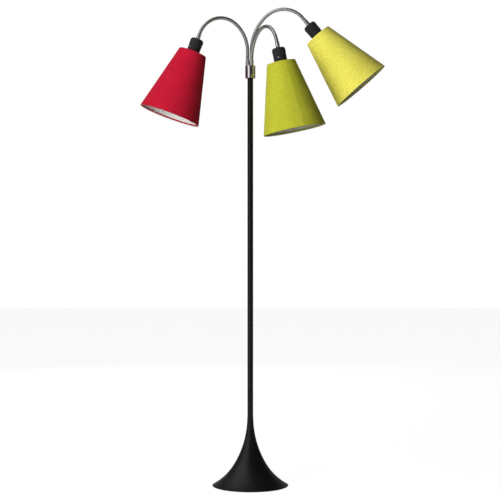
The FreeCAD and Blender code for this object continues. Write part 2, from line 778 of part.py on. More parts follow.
def bulb_parts(arm, seat):
    """The screw cap and the round opal glass of one bulb."""
    cap_end = seat + dim.bulb_cap_length
    taper_end = seat + dim.bulb_cap_taper_length
    cap = turned("bulb_cap_" + arm, [
        (ZERO, seat), (dim.contact_radius, seat),
        (dim.bulb_cap_radius - dim.bulb_cap_taper, taper_end),
        (dim.bulb_cap_radius, taper_end + dim.bulb_cap_shoulder),
        (dim.bulb_cap_radius, cap_end), (ZERO, cap_end)])
    drop = Size(math.sqrt(dim.bulb_radius.value ** 2 - dim.bulb_neck_radius.value ** 2),
                "sqrt(%s ^ 2 - %s ^ 2)" % (dim.bulb_radius.formula, dim.bulb_neck_radius.formula))
    equator = cap_end + dim.bulb_neck_length + drop
    glass = turned("bulb_glass_" + arm, [
        (ZERO, cap_end), (dim.bulb_cap_radius - dim.bulb_glass_step, cap_end),
        (dim.bulb_neck_radius, cap_end + dim.bulb_neck_length),
        (dim.bulb_radius, equator, dim.bulb_radius),
        (ZERO, equator + dim.bulb_radius, dim.bulb_radius)])
    return [cap, glass]


def shade_parts(arm):
    """The fabric cone, its wire frame with three spokes, and the ring that clamps it."""
    top = dim.shade_drop
    bottom = top + dim.shade_height
    slope = (dim.shade_bottom_radius - dim.shade_top_radius) / dim.shade_height
    cover = turned("shade_cover_" + arm, [
        (dim.shade_top_radius - dim.shade_wall, top), (dim.shade_top_radius, top),
        (dim.shade_bottom_radius, bottom), (dim.shade_bottom_radius - dim.shade_wall, bottom)])
    # A wire that touches the leaning wall lies this much further in than its own radius.
    lean = Size(math.sqrt(1 + slope.value ** 2), "sqrt(1 + %s ^ 2)" % slope.formula)
    inset = dim.shade_wall + dim.wire_radius * lean + dim.seat_gap
    top_ring_height = top + dim.wire_radius
    low_ring_height = bottom - dim.wire_radius
    top_ring_radius = dim.shade_top_radius + slope * dim.wire_radius - inset
    low_ring_radius = dim.shade_bottom_radius - slope * dim.wire_radius - inset
    top_ring = wire_ring("top_ring_" + arm, top_ring_radius, top_ring_height)
    low_ring = wire_ring("low_ring_" + arm, low_ring_radius, low_ring_height)
    carrier_low = dim.holder_length + dim.seat_gap
    carrier_high = carrier_low + dim.carrier_thickness
    thread_hole = dim.thread_radius + dim.seat_gap
    carrier = turned("carrier_" + arm, [
        (thread_hole, carrier_low), (dim.carrier_radius, carrier_low),
        (dim.carrier_radius, carrier_high), (thread_hole, carrier_high)])
    spokes = [top_ring, carrier]
    for k in range(SPOKES):
        angle = 360 * (k + 0.5) / SPOKES
        start = FreeCAD.Vector((dim.carrier_radius - dim.spoke_weld).value, 0,
                               (carrier_low + dim.carrier_thickness / 2).value)
        finish = FreeCAD.Vector(top_ring_radius.value, 0, top_ring_height.value)
        run = finish - start
        spoke = doc.addObject("Part::Cylinder", "spoke_%s_%d" % (arm, k))
        bind_property(spoke, "Radius", dim.spoke_radius)
        spoke.Height = run.Length
        turn = FreeCAD.Rotation(FreeCAD.Vector(0, 0, 1), angle)
        tilt = FreeCAD.Rotation(FreeCAD.Vector(0, 0, 1), run)
        spoke.Placement = FreeCAD.Placement(turn.multVec(start), turn.multiply(tilt))
        spokes.append(spoke)
    weld = joined("shade_fitter_" + arm, spokes)
    frame = doc.addObject("Part::Compound", "shade_frame_group_" + arm)
    frame.Links = [weld, low_ring]
    frame.Label = "shade_frame_" + arm
    weld.Label = "shade_fitter_weld_" + arm
    ring_low = carrier_high + dim.seat_gap
    ring = turned("shade_ring_" + arm, [
        (thread_hole, ring_low), (dim.ring_outer_radius, ring_low),
        (dim.ring_outer_radius, ring_low + dim.ring_thickness - dim.ring_chamfer),
        (dim.ring_outer_radius - dim.ring_chamfer, ring_low + dim.ring_thickness),
        (thread_hole, ring_low + dim.ring_thickness)])
    return [cover, frame, ring]


def wire_ring(name, radius, height):
    """A round wire ring about the Z axis."""
    ring = doc.addObject("Part::Torus", name)
    bind_property(ring, "Radius1", radius)
    bind_property(ring, "Radius2", dim.wire_radius)
    ring.Placement = upright(0, 0, height.value)
    return ring


base_parts()
pole_parts()
collar_parts()
for arm_name in ARMS:
    arm_parts(arm_name)
doc.recompute()

ROOT_NODES = (
    "base_shell", "base_weight", "base_plate", "base_pad", "base_rod", "base_washer",
    "base_nut", "cable_grommet", "pole_lower", "pole_joint", "pole_upper",
    "collar_sleeve", "collar_hub", "collar_screw")
ARM_NODES = (
    "hose_socket", "hose_lower", "hose_upper", "hose_tail", "hose_end", "holder_cap",
    "holder_body", "switch_button", "socket_insert", "socket_contact", "bulb_cap",
    "bulb_glass", "shade_cover", "shade_frame", "shade_ring")

nodes = list(ROOT_NODES)
for arm_name in ARMS:
    nodes += ["%s_%s" % (stem, arm_name) for stem in ARM_NODES]

for item in doc.Objects:
    if "Invalid" in item.State or "Error" in item.State:
        raise RuntimeError("failed feature: %s %s" % (item.Name, item.State))

by_label = {item.Label: item for item in doc.Objects}
os.makedirs("parts", exist_ok=True)
for node in nodes:
    shape = by_label[node].Shape
    if shape.isNull() or not shape.isValid() or not shape.Solids:
        raise RuntimeError("bad shape: " + node)
    shape.exportStep("parts/%s.step" % node)
print("wrote", len(nodes), "pieces")
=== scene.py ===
"""The looks of a tree floor lamp: trumpet base, slim pole, three goosenecks with fabric shades."""

import json
import logging
import math
from dataclasses import dataclass
from enum import Enum

import bmesh
import bpy
import numpy as np
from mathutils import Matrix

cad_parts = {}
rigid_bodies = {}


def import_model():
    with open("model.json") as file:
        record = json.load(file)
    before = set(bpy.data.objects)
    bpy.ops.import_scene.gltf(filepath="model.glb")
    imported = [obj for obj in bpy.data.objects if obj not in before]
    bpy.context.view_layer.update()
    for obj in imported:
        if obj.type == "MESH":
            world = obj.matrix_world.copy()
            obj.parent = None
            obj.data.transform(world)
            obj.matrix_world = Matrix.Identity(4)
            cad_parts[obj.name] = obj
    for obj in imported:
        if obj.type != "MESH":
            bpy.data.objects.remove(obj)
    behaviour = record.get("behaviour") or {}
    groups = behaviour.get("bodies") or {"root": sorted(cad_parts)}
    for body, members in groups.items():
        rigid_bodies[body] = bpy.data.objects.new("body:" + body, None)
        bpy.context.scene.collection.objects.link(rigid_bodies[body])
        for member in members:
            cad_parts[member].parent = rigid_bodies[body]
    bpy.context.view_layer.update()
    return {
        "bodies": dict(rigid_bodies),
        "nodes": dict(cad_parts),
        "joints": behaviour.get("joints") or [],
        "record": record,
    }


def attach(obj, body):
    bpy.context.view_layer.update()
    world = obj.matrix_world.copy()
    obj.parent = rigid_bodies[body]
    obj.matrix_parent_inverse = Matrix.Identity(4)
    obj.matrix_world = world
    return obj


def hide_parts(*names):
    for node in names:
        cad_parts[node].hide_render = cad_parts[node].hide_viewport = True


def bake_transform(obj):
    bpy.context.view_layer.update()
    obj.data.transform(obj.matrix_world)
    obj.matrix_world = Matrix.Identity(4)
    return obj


LOG = logging.getLogger("tree_floor_lamp")
MM = 0.001
TURN = 2 * math.pi
CREASE = math.radians(38)


class Arm(Enum):
    """The three arms, by where they stand."""

    LEFT = "left"
    FRONT = "front"
    RIGHT = "right"


# --- Shader graphs ---


class Signal:
    """An output socket that can be used in sums; each operator adds one Math node."""

    def __init__(self, graph: "Graph", socket: bpy.types.NodeSocket) -> None:
        """Keep the graph and the socket."""
        self.graph = graph
        self.socket = socket

    def _math(self, operation: str, first: "Signal | float",
              second: "Signal | float") -> "Signal":
        """Add a Math node.

        Args:
            operation: Blender's name of the operation.
            first: a signal or a number.
            second: a signal or a number.
        Returns:
            The node's output.
        """
        return self.graph.node("ShaderNodeMath", {"operation": operation}, {0: first, 1: second})

    def __add__(self, other: "Signal | float") -> "Signal":
        """Sum."""
        return self._math("ADD", self, other)

    def __radd__(self, other: "Signal | float") -> "Signal":
        """Sum, reflected."""
        return self._math("ADD", other, self)

    def __mul__(self, other: "Signal | float") -> "Signal":
        """Product."""
        return self._math("MULTIPLY", self, other)

    def __rmul__(self, other: "Signal | float") -> "Signal":
        """Product, reflected."""
        return self._math("MULTIPLY", other, self)

    def maximum(self, other: "Signal | float") -> "Signal":
        """The larger of two values."""
        return self._math("MAXIMUM", self, other)

    def sine(self) -> "Signal":
        """Sine of the value in radians."""
        return self._math("SINE", self, 0.0)

    def beside(self, output: str) -> "Signal":
        """Another output of the same node."""
        return Signal(self.graph, self.socket.node.outputs[output])


class Graph:
    """The node tree of one material or world."""

    def __init__(self, owner: bpy.types.Material | bpy.types.World) -> None:
        """Start an empty tree.

        Args:
            owner: the material or world that holds it.
        """
        owner.use_nodes = True
        self.tree = owner.node_tree
        self.tree.nodes.clear()

    def node(self, kind: str, settings: dict | None = None, inputs: dict | None = None,
             output: int | str = 0) -> Signal:
        """Add one node.

        Args:
            kind: the node's Blender type.
            settings: properties to set first; "stops" holds a ramp's (place, colour) pairs.
            inputs: values or signals by socket name or number.
            output: the socket to return.
        Returns:
            The chosen output.
        """
        made = self.tree.nodes.new(kind)
        for name, value in (settings or {}).items():
            if name == "stops":
                self._set_stops(made.color_ramp, value)
            else:
                setattr(made, name, value)
        for name, value in (inputs or {}).items():
            if isinstance(value, Signal):
                self.tree.links.new(value.socket, made.inputs[name])
            else:
                made.inputs[name].default_value = value
        return Signal(self, made.outputs[output]) if len(made.outputs) else Signal(self, None)

    @staticmethod
    def _set_stops(ramp: bpy.types.ColorRamp, stops: list) -> None:
        """Write a ramp's stops, in order.

        Args:
            ramp: the colour ramp.
            stops: (place, colour) pairs, the colours without alpha.
        """
        while len(ramp.elements) < len(stops):
            ramp.elements.new(1.0)
        for element, (place, colour) in zip(ramp.elements, stops):
            element.position = place
            element.color = (*colour, 1.0)

    def object_place(self) -> Signal:
        """Object coordinates, in metres."""
        return self.node("ShaderNodeTexCoord", output="Object")

    def flat_place(self) -> Signal:
        """The piece's own UV map, which holds metres on the flat cut."""
        return self.node("ShaderNodeUVMap", {"uv_map": "flat"})

    def stretched(self, place: Signal, scale: tuple[float, float, float]) -> Signal:
        """Scale a place by axis."""
        return self.node("ShaderNodeMapping", None, {"Vector": place, "Scale": scale})

    def noise(self, place: Signal, scale: float, detail: float = 3.0,
              roughness: float = 0.55) -> Signal:
        """Fractal noise from 0 to 1."""
        return self.node("ShaderNodeTexNoise", None,
                         {"Vector": place, "Scale": scale, "Detail": detail,
                          "Roughness": roughness})

    def ramp(self, value: Signal, stops: list) -> Signal:
        """A colour ramp over a value."""
        return self.node("ShaderNodeValToRGB", {"stops": stops}, {"Fac": value})

    def fitted(self, value: Signal, low: float, high: float, new_low: float,
               new_high: float) -> Signal:
        """Map a range of values to another, clamped."""
        return self.node("ShaderNodeMapRange", {"clamp": True},
                         {"Value": value, "From Min": low, "From Max": high,
                          "To Min": new_low, "To Max": new_high})

    def bump(self, height: Signal, distance: float, strength: float = 1.0) -> Signal:
        """A Bump node that stands distance metres high."""
        return self.node("ShaderNodeBump", None,
                         {"Height": height, "Distance": distance, "Strength": strength})

    def surface(self, inputs: dict) -> None:
        """End the material in a Principled shader with these inputs."""
        shader = self.node("ShaderNodeBsdfPrincipled", None, inputs)
        self.node("ShaderNodeOutputMaterial", None, {"Surface": shader})


# --- Finishes ---


@dataclass(frozen=True)
class Finish:
    """A surface finish with its own material, made once."""

    name: str

    def material(self) -> bpy.types.Material:
        """Find the finish's material, or build it the first time.

        Returns:
            The material.
        """
        found = bpy.data.materials.get(self.name)
        if found is None:
            found = bpy.data.materials.new(self.name)
            self.build(Graph(found))
        return found

    def build(self, graph: Graph) -> None:
        """Fill the material's graph; each finish has its own.

        Args:
            graph: the material's empty graph.
        """
        raise NotImplementedError


def tinted(colour: tuple[float, ...], factor: float) -> tuple[float, ...]:
    """A colour times a factor, kept within 1."""
    return tuple(min(1.0, c * factor) for c in colour)


@dataclass(frozen=True)
class PowderCoat(Finish):
    """Matte powder coat: a fine orange-peel skin and faint handling marks."""

    colour: tuple[float, float, float] = (0.0022, 0.0022, 0.0024)
    roughness: float = 0.44

    def build(self, graph: Graph) -> None:
        """Fine grain in the bump, broad patches in roughness and tone.

        Args:
            graph: the material's empty graph.
        """
        place = graph.object_place()
        grain = graph.noise(place, 2600.0, 2.0)
        peel = graph.noise(place, 700.0, 2.0)
        patches = graph.noise(place, 16.0, 4.0)
        tone = graph.ramp(patches, [(0.3, tinted(self.colour, 0.82)),
                                    (0.72, tinted(self.colour, 1.35))])
        rough = graph.fitted(patches * 0.7 + grain * 0.3, 0.3, 0.7,
                             self.roughness - 0.05, self.roughness + 0.07)
        height = peel * 0.7 + grain * 0.3
        graph.surface({"Base Color": tone, "Roughness": rough, "Specular IOR Level": 0.48,
                       "Normal": graph.bump(height, 0.00001, 0.25)})


@dataclass(frozen=True)
class Chrome(Finish):
    """Polished plating with faint wiping marks."""

    colour: tuple[float, float, float] = (0.77, 0.77, 0.79)
    roughness: float = 0.07

    def build(self, graph: Graph) -> None:
        """Streaks along Z in roughness, a hair of waviness in the bump.

        Args:
            graph: the material's empty graph.
        """
        place = graph.object_place()
        streaks = graph.noise(graph.stretched(place, (900.0, 900.0, 60.0)), 1.0, 3.0)
        haze = graph.noise(place, 45.0, 3.0)
        rough = graph.fitted(streaks * 0.5 + haze * 0.5, 0.35, 0.7,
                             self.roughness * 0.6, self.roughness * 1.8)
        tone = graph.ramp(haze, [(0.3, tinted(self.colour, 0.93)), (0.7, self.colour)])
        graph.surface({"Base Color": tone, "Metallic": 1.0, "Roughness": rough,
                       "Normal": graph.bump(haze, 0.00002, 0.25)})


@dataclass(frozen=True)
class MouldedPlastic(Finish):
    """Satin moulded plastic with a fine spark-eroded texture."""

    colour: tuple[float, float, float] = (0.0032, 0.0032, 0.0034)
    roughness: float = 0.33
    grain: float = 0.00002

    def build(self, graph: Graph) -> None:
        """Fine texture and flow marks.

        Args:
            graph: the material's empty graph.
        """
        place = graph.object_place()
        texture = graph.noise(place, 3200.0, 2.0)
        flow = graph.noise(place, 60.0, 3.0)
        tone = graph.ramp(flow, [(0.3, tinted(self.colour, 0.88)),
                                 (0.75, tinted(self.colour, 1.15))])
        rough = graph.fitted(flow * 0.6 + texture * 0.4, 0.3, 0.7,
                             self.roughness - 0.05, self.roughness + 0.08)
        graph.surface({"Base Color": tone, "Roughness": rough, "Specular IOR Level": 0.18,
                       "Normal": graph.bump(texture, self.grain, 0.5)})


@dataclass(frozen=True)
class ShadeCanvas(Finish):
    """Plain-woven cotton stretched over the shade, with slubs in both thread directions."""

    colour: tuple[float, float, float] = (0.5, 0.5, 0.5)
    # The darkest yarn tone, which the weave term also uses as painted shade in the weave's dips.
    shadow: tuple[float, float, float] = (0.4, 0.4, 0.4)
    thread: float = 0.00052

    def build(self, graph: Graph) -> None:
        """Weave height = the product of two sines; slubs = noise drawn out along threads.

        The weave height also goes into the colour: painted shade in its dips, painted light on its
        crests.

        Args:
            graph: the material's empty graph.
        """
        flat = graph.flat_place()
        parts = graph.node("ShaderNodeSeparateXYZ", None, {"Vector": flat})
        per_thread = math.pi / self.thread
        over = (parts * per_thread).sine() * (parts.beside("Y") * per_thread).sine()
        weave = over * 0.5 + 0.5
        warp_slub = graph.noise(graph.stretched(flat, (1500.0, 36.0, 1.0)), 1.0, 2.0)
        weft_slub = graph.noise(graph.stretched(flat, (36.0, 1500.0, 1.0)), 1.0, 2.0)
        coarse_warp = graph.noise(graph.stretched(flat, (420.0, 11.0, 1.0)), 1.0, 3.0)
        coarse_weft = graph.noise(graph.stretched(flat, (11.0, 420.0, 1.0)), 1.0, 3.0)
        dye = graph.noise(flat, 14.0, 3.0)
        nubs = graph.noise(flat, 300.0, 3.0, 0.7)
        slub = warp_slub * 0.3 + weft_slub * 0.3 + coarse_warp * 0.2 + coarse_weft * 0.2
        # The weave term paints shade in the weave's dips and light on its crests; slubs, nubs and
        # dye are the yarn's own tone.
        yarn_tone_and_weave_shade = slub * 0.46 + nubs * 0.36 + dye * 0.06 + weave * 0.12
        shade = graph.fitted(yarn_tone_and_weave_shade, 0.435, 0.565, 0.0, 1.0)
        tone = graph.ramp(shade, [(0.0, self.shadow), (0.5, self.colour),
                                  (1.0, tinted(self.colour, 1.2))])
        height = weave * 0.6 + slub * 0.8
        rough = graph.fitted(slub, 0.35, 0.65, 0.8, 0.95)
        graph.surface({"Base Color": tone, "Roughness": rough, "Sheen Weight": 0.06,
                       "Sheen Roughness": 0.4, "Specular IOR Level": 0.12,
                       "Normal": graph.bump(height, 0.00022, 0.7)})


@dataclass(frozen=True)
class ShadeLining(Finish):
    """White styrene backing, satin, with faint warm patches."""

    def build(self, graph: Graph) -> None:
        """Faint calender lines and warm patches.

        Args:
            graph: the material's empty graph.
        """
        place = graph.object_place()
        warm = graph.noise(place, 9.0, 3.0)
        lines = graph.noise(graph.stretched(place, (500.0, 500.0, 12.0)), 1.0, 2.0)
        tone = graph.ramp(warm, [(0.3, (0.86, 0.84, 0.79)), (0.7, (0.9, 0.895, 0.87))])
        graph.surface({"Base Color": tone, "Roughness": graph.fitted(warm, 0.3, 0.7, 0.4, 0.52),
                       "Normal": graph.bump(lines, 0.00004, 0.4)})


@dataclass(frozen=True)
class OpalGlass(Finish):
    """Opal bulb glass: milky, glossy, a little uneven."""

    def build(self, graph: Graph) -> None:
        """Milk-white with faint ripples.

        Args:
            graph: the material's empty graph.
        """
        place = graph.object_place()
        ripple = graph.noise(place, 38.0, 2.0)
        tone = graph.ramp(ripple, [(0.3, (0.86, 0.86, 0.84)), (0.7, (0.91, 0.91, 0.9))])
        graph.surface({"Base Color": tone, "Roughness": graph.fitted(ripple, 0.3, 0.7, 0.1, 0.2),
                       "Subsurface Weight": 0.15, "Subsurface Radius": (0.01, 0.01, 0.01),
                       "Normal": graph.bump(ripple, 0.0001, 0.3)})


@dataclass(frozen=True)
class CastMetal(Finish):
    """Bare or plated metal; rough for the casting, smooth for turned steel and brass."""

    colour: tuple[float, float, float] = (0.5, 0.5, 0.5)
    roughness: float = 0.4
    lump: float = 0.00005

    def build(self, graph: Graph) -> None:
        """Grain in the bump and stains in tone and roughness.

        Args:
            graph: the material's empty graph.
        """
        place = graph.object_place()
        grain = graph.noise(place, 900.0, 4.0)
        stain = graph.noise(place, 55.0, 4.0)
        tone = graph.ramp(stain, [(0.3, tinted(self.colour, 0.7)), (0.7, self.colour)])
        rough = graph.fitted(stain * 0.5 + grain * 0.5, 0.3, 0.7,
                             self.roughness * 0.75, self.roughness * 1.3)
        graph.surface({"Base Color": tone, "Metallic": 1.0, "Roughness": rough,
                       "Normal": graph.bump(grain, self.lump, 0.7)})


@dataclass(frozen=True)
class Felt(Finish):
    """Pressed felt: short matted fibres."""

    def build(self, graph: Graph) -> None:
        """Two scales of fibre noise.

        Args:
            graph: the material's empty graph.
        """
        place = graph.object_place()
        fibre = graph.noise(place, 1900.0, 5.0, 0.7)
        mat = graph.noise(place, 120.0, 4.0)
        tone = graph.ramp(fibre * 0.6 + mat * 0.4,
                          [(0.3, (0.006, 0.006, 0.007)), (0.7, (0.028, 0.028, 0.03))])
        graph.surface({"Base Color": tone, "Roughness": graph.fitted(fibre, 0.3, 0.7, 0.88, 1.0),
                       "Sheen Weight": 0.3, "Normal": graph.bump(fibre, 0.0003, 0.8)})


BLACK_COAT = PowderCoat("black_coat")
CHROME = Chrome("polished_chrome")
HOSE_CHROME = Chrome("hose_chrome", (0.7, 0.7, 0.71), 0.3)
BLACK_PLASTIC = MouldedPlastic("black_plastic")
BUTTON_PLASTIC = MouldedPlastic("button_plastic", (0.17, 0.175, 0.185), 0.3)
PORCELAIN = MouldedPlastic("socket_porcelain", (0.72, 0.7, 0.65), 0.2)
RUBBER = MouldedPlastic("grommet_rubber", (0.012, 0.012, 0.012), 0.6, 0.00004)
WHITE_WIRE = MouldedPlastic("white_enamel_wire", (0.72, 0.72, 0.7), 0.3)
LINING = ShadeLining("shade_lining")
OPAL = OpalGlass("opal_glass")
CAST_IRON = CastMetal("cast_iron", (0.13, 0.13, 0.13), 0.75, 0.0003)
STEEL = CastMetal("zinc_steel", (0.56, 0.56, 0.55), 0.32, 0.00003)
BRASS = CastMetal("bare_brass", (0.72, 0.52, 0.22), 0.28, 0.00003)
FELT = Felt("base_felt")
CANVAS = {
    Arm.LEFT: ShadeCanvas("crimson_canvas", (0.515, 0.011, 0.035), (0.35, 0.004, 0.017)),
    Arm.FRONT: ShadeCanvas("lime_canvas", (0.47, 0.478, 0.038), (0.35, 0.348, 0.017)),
    Arm.RIGHT: ShadeCanvas("yellow_canvas", (0.82, 0.765, 0.125), (0.66, 0.575, 0.062)),
}
FABRIC_SLOT = {Arm.LEFT: "red_fabric", Arm.FRONT: "green_fabric", Arm.RIGHT: "yellow_fabric"}


# --- Surfaces ---


@dataclass
class Placing:
    """A place with three unit axes: side (X), across (Y) and ahead (Z)."""

    point: np.ndarray
    side: np.ndarray
    ahead: np.ndarray

    @property
    def across(self) -> np.ndarray:
        """The third axis."""
        return np.cross(self.ahead, self.side)

    def moved(self, length: float) -> "Placing":
        """The place after a straight run along ahead."""
        return Placing(self.point + self.ahead * length, self.side, self.ahead)

    def bent(self, radius: float, angle: float) -> "Placing":
        """The place after a bend towards side.

        Args:
            radius: the bend's radius, in metres.
            angle: how far it turns, in radians.
        Returns:
            The place at the bend's end.
        """
        point = self.point + self.ahead * radius * math.sin(angle)
        point = point + self.side * radius * (1 - math.cos(angle))
        side = self.side * math.cos(angle) - self.ahead * math.sin(angle)
        ahead = self.ahead * math.cos(angle) + self.side * math.sin(angle)
        return Placing(point, side, ahead)

    def rolled(self, angle: float) -> "Placing":
        """The same place with its side turned about ahead."""
        side = self.side * math.cos(angle) + self.across * math.sin(angle)
        return Placing(self.point, side, self.ahead)

    def apply(self, points: np.ndarray) -> np.ndarray:
        """Carry points from the place's own axes to the lamp's."""
        basis = np.stack([self.side, self.across, self.ahead])
        return points @ basis + self.point


UPRIGHT = Placing(np.zeros(3), np.array([1.0, 0.0, 0.0]), np.array([0.0, 0.0, 1.0]))


def add_object(name: str, data: bpy.types.ID) -> bpy.types.Object:
    """Make an object and put it in the scene.

    Args:
        name: the object's name.
        data: its mesh, light or camera.
    Returns:
        The object.
    """
    made = bpy.data.objects.new(name, data)
    bpy.context.scene.collection.objects.link(made)
    return made


def grid_piece(name: str, points: np.ndarray, finish: Finish, closed: bool = False,
               flat: np.ndarray | None = None) -> bpy.types.Object:
    """Make a mesh of quads from a grid of points.

    Args:
        name: the object's name.
        points: rows x columns x 3, columns running round the piece.
        finish: the material.
        closed: whether the last row joins the first, as in a ring.
        flat: rows x (columns + 1) x 2 places on the flat cut, for the UV map.
    Returns:
        The object, its columns joined round and its poles merged.
    """
    rows, columns = points.shape[:2]
    row, column = np.indices((rows if closed else rows - 1, columns))
    below = (row + 1) % rows
    beside = (column + 1) % columns
    quads = np.stack([row * columns + column, row * columns + beside,
                      below * columns + beside, below * columns + column], axis=-1)
    quads = quads.reshape(-1, 4)
    mesh = bpy.data.meshes.new(name)
    mesh.from_pydata(points.reshape(-1, 3).tolist(), [], quads.tolist())
    if flat is not None:
        corners = np.stack([flat[row, column], flat[row, column + 1],
                            flat[below, column + 1], flat[below, column]], axis=2)
        layer = mesh.uv_layers.new(name="flat")
        layer.data.foreach_set("uv", corners.reshape(-1).astype(np.float32))
    mesh.materials.append(finish.material())
    tidy_mesh(mesh)
    return add_object(name, mesh)


def tidy_mesh(mesh: bpy.types.Mesh) -> None:
    """Merge doubled points, turn faces outwards and mark sharp edges.

    Args:
        mesh: the mesh to mend.
    """
    shape = bmesh.new()
    shape.from_mesh(mesh)
    bmesh.ops.remove_doubles(shape, verts=shape.verts, dist=1e-7)
    bmesh.ops.recalc_face_normals(shape, faces=shape.faces)
    shape.to_mesh(mesh)
    shape.free()
    mesh.polygons.foreach_set("use_smooth", np.ones(len(mesh.polygons), dtype=bool))
    mesh.set_sharp_from_angle(angle=CREASE)
    mesh.update()


def softened(corners: list[tuple[float, float]], radius: float, steps: int = 4) -> np.ndarray:
    """Round the inner corners of an open outline.

    Each corner V becomes the curve (1-t)^2 A + 2t(1-t) V + t^2 B, where A and B lie on its
    two edges at the radius or at 0.45 of the edge, whichever is less.

    Args:
        corners: the outline's points.
        radius: how far from each corner the rounding starts.
        steps: segments per rounding.
    Returns:
        The rounded outline as an array.
    """
    points = np.array(corners, dtype=float)
    corner = points[1:-1]
    ends = []
    for edge in (points[:-2] - corner, points[2:] - corner):
        length = np.linalg.norm(edge, axis=1, keepdims=True)
        ends.append((corner + edge / length * np.minimum(radius, 0.45 * length))[:, None])
    share = np.linspace(0.0, 1.0, steps + 1)[None, :, None]
    curves = ((1 - share) ** 2 * ends[0] + 2 * share * (1 - share) * corner[:, None]
              + share ** 2 * ends[1])
    return np.vstack([points[:1], curves.reshape(-1, 2), points[-1:]])


def turned_piece(name: str, outline: np.ndarray, finish: Finish, place: Placing = UPRIGHT,
                 around: int = 96, closed: bool = False) -> bpy.types.Object:
    """Turn an outline of (radius, height) pairs, in millimetres, once round the place's Z.

    A point is (r cos a, r sin a, h) for a from 0 to a full turn.

    Args:
        name: the object's name.
        outline: the profile.
        finish: the material.
        place: where the piece stands.
        around: segments round the piece.
        closed: whether the outline is a closed loop.
    Returns:
        The object.
    """
    profile = np.asarray(outline, dtype=float) * MM
    angle = np.linspace(0.0, TURN, around, endpoint=False)
    radius = profile[:, 0][:, None]
    points = np.stack([radius * np.cos(angle), radius * np.sin(angle),
                       np.broadcast_to(profile[:, 1][:, None], (len(profile), around))], axis=-1)
    return grid_piece(name, place.apply(points), finish, closed)


def finished_loop(corners: list[tuple[float, float]], radius: float) -> np.ndarray:
    """A closed outline with every corner rounded, ready for turned_piece(closed=True)."""
    return softened([*corners, *corners[:2]], radius)[1:-1]


# --- The goosenecks ---


@dataclass
class Bends:
    """One hose's bending data, in millimetres and degrees, as a tube bender writes it."""

    socket_angle: float
    heading: float
    rise: float
    first_radius: float
    first_angle: float
    roll: float
    second_radius: float
    second_angle: float
    tail: float
    button_angle: float


BENDS = {
    Arm.LEFT: Bends(180, -150.6, 45.5, 100.3, 58.4, -8.4, 77.6, 103, 19, 160),
    Arm.FRONT: Bends(-60, -64.6, 16, 91, 131.9, 15.1, 52.7, 44.8, 17, -148),
    Arm.RIGHT: Bends(60, -18.5, 50.8, 134.3, 51.3, 10.8, 80.9, 89.5, 28, 177),
}


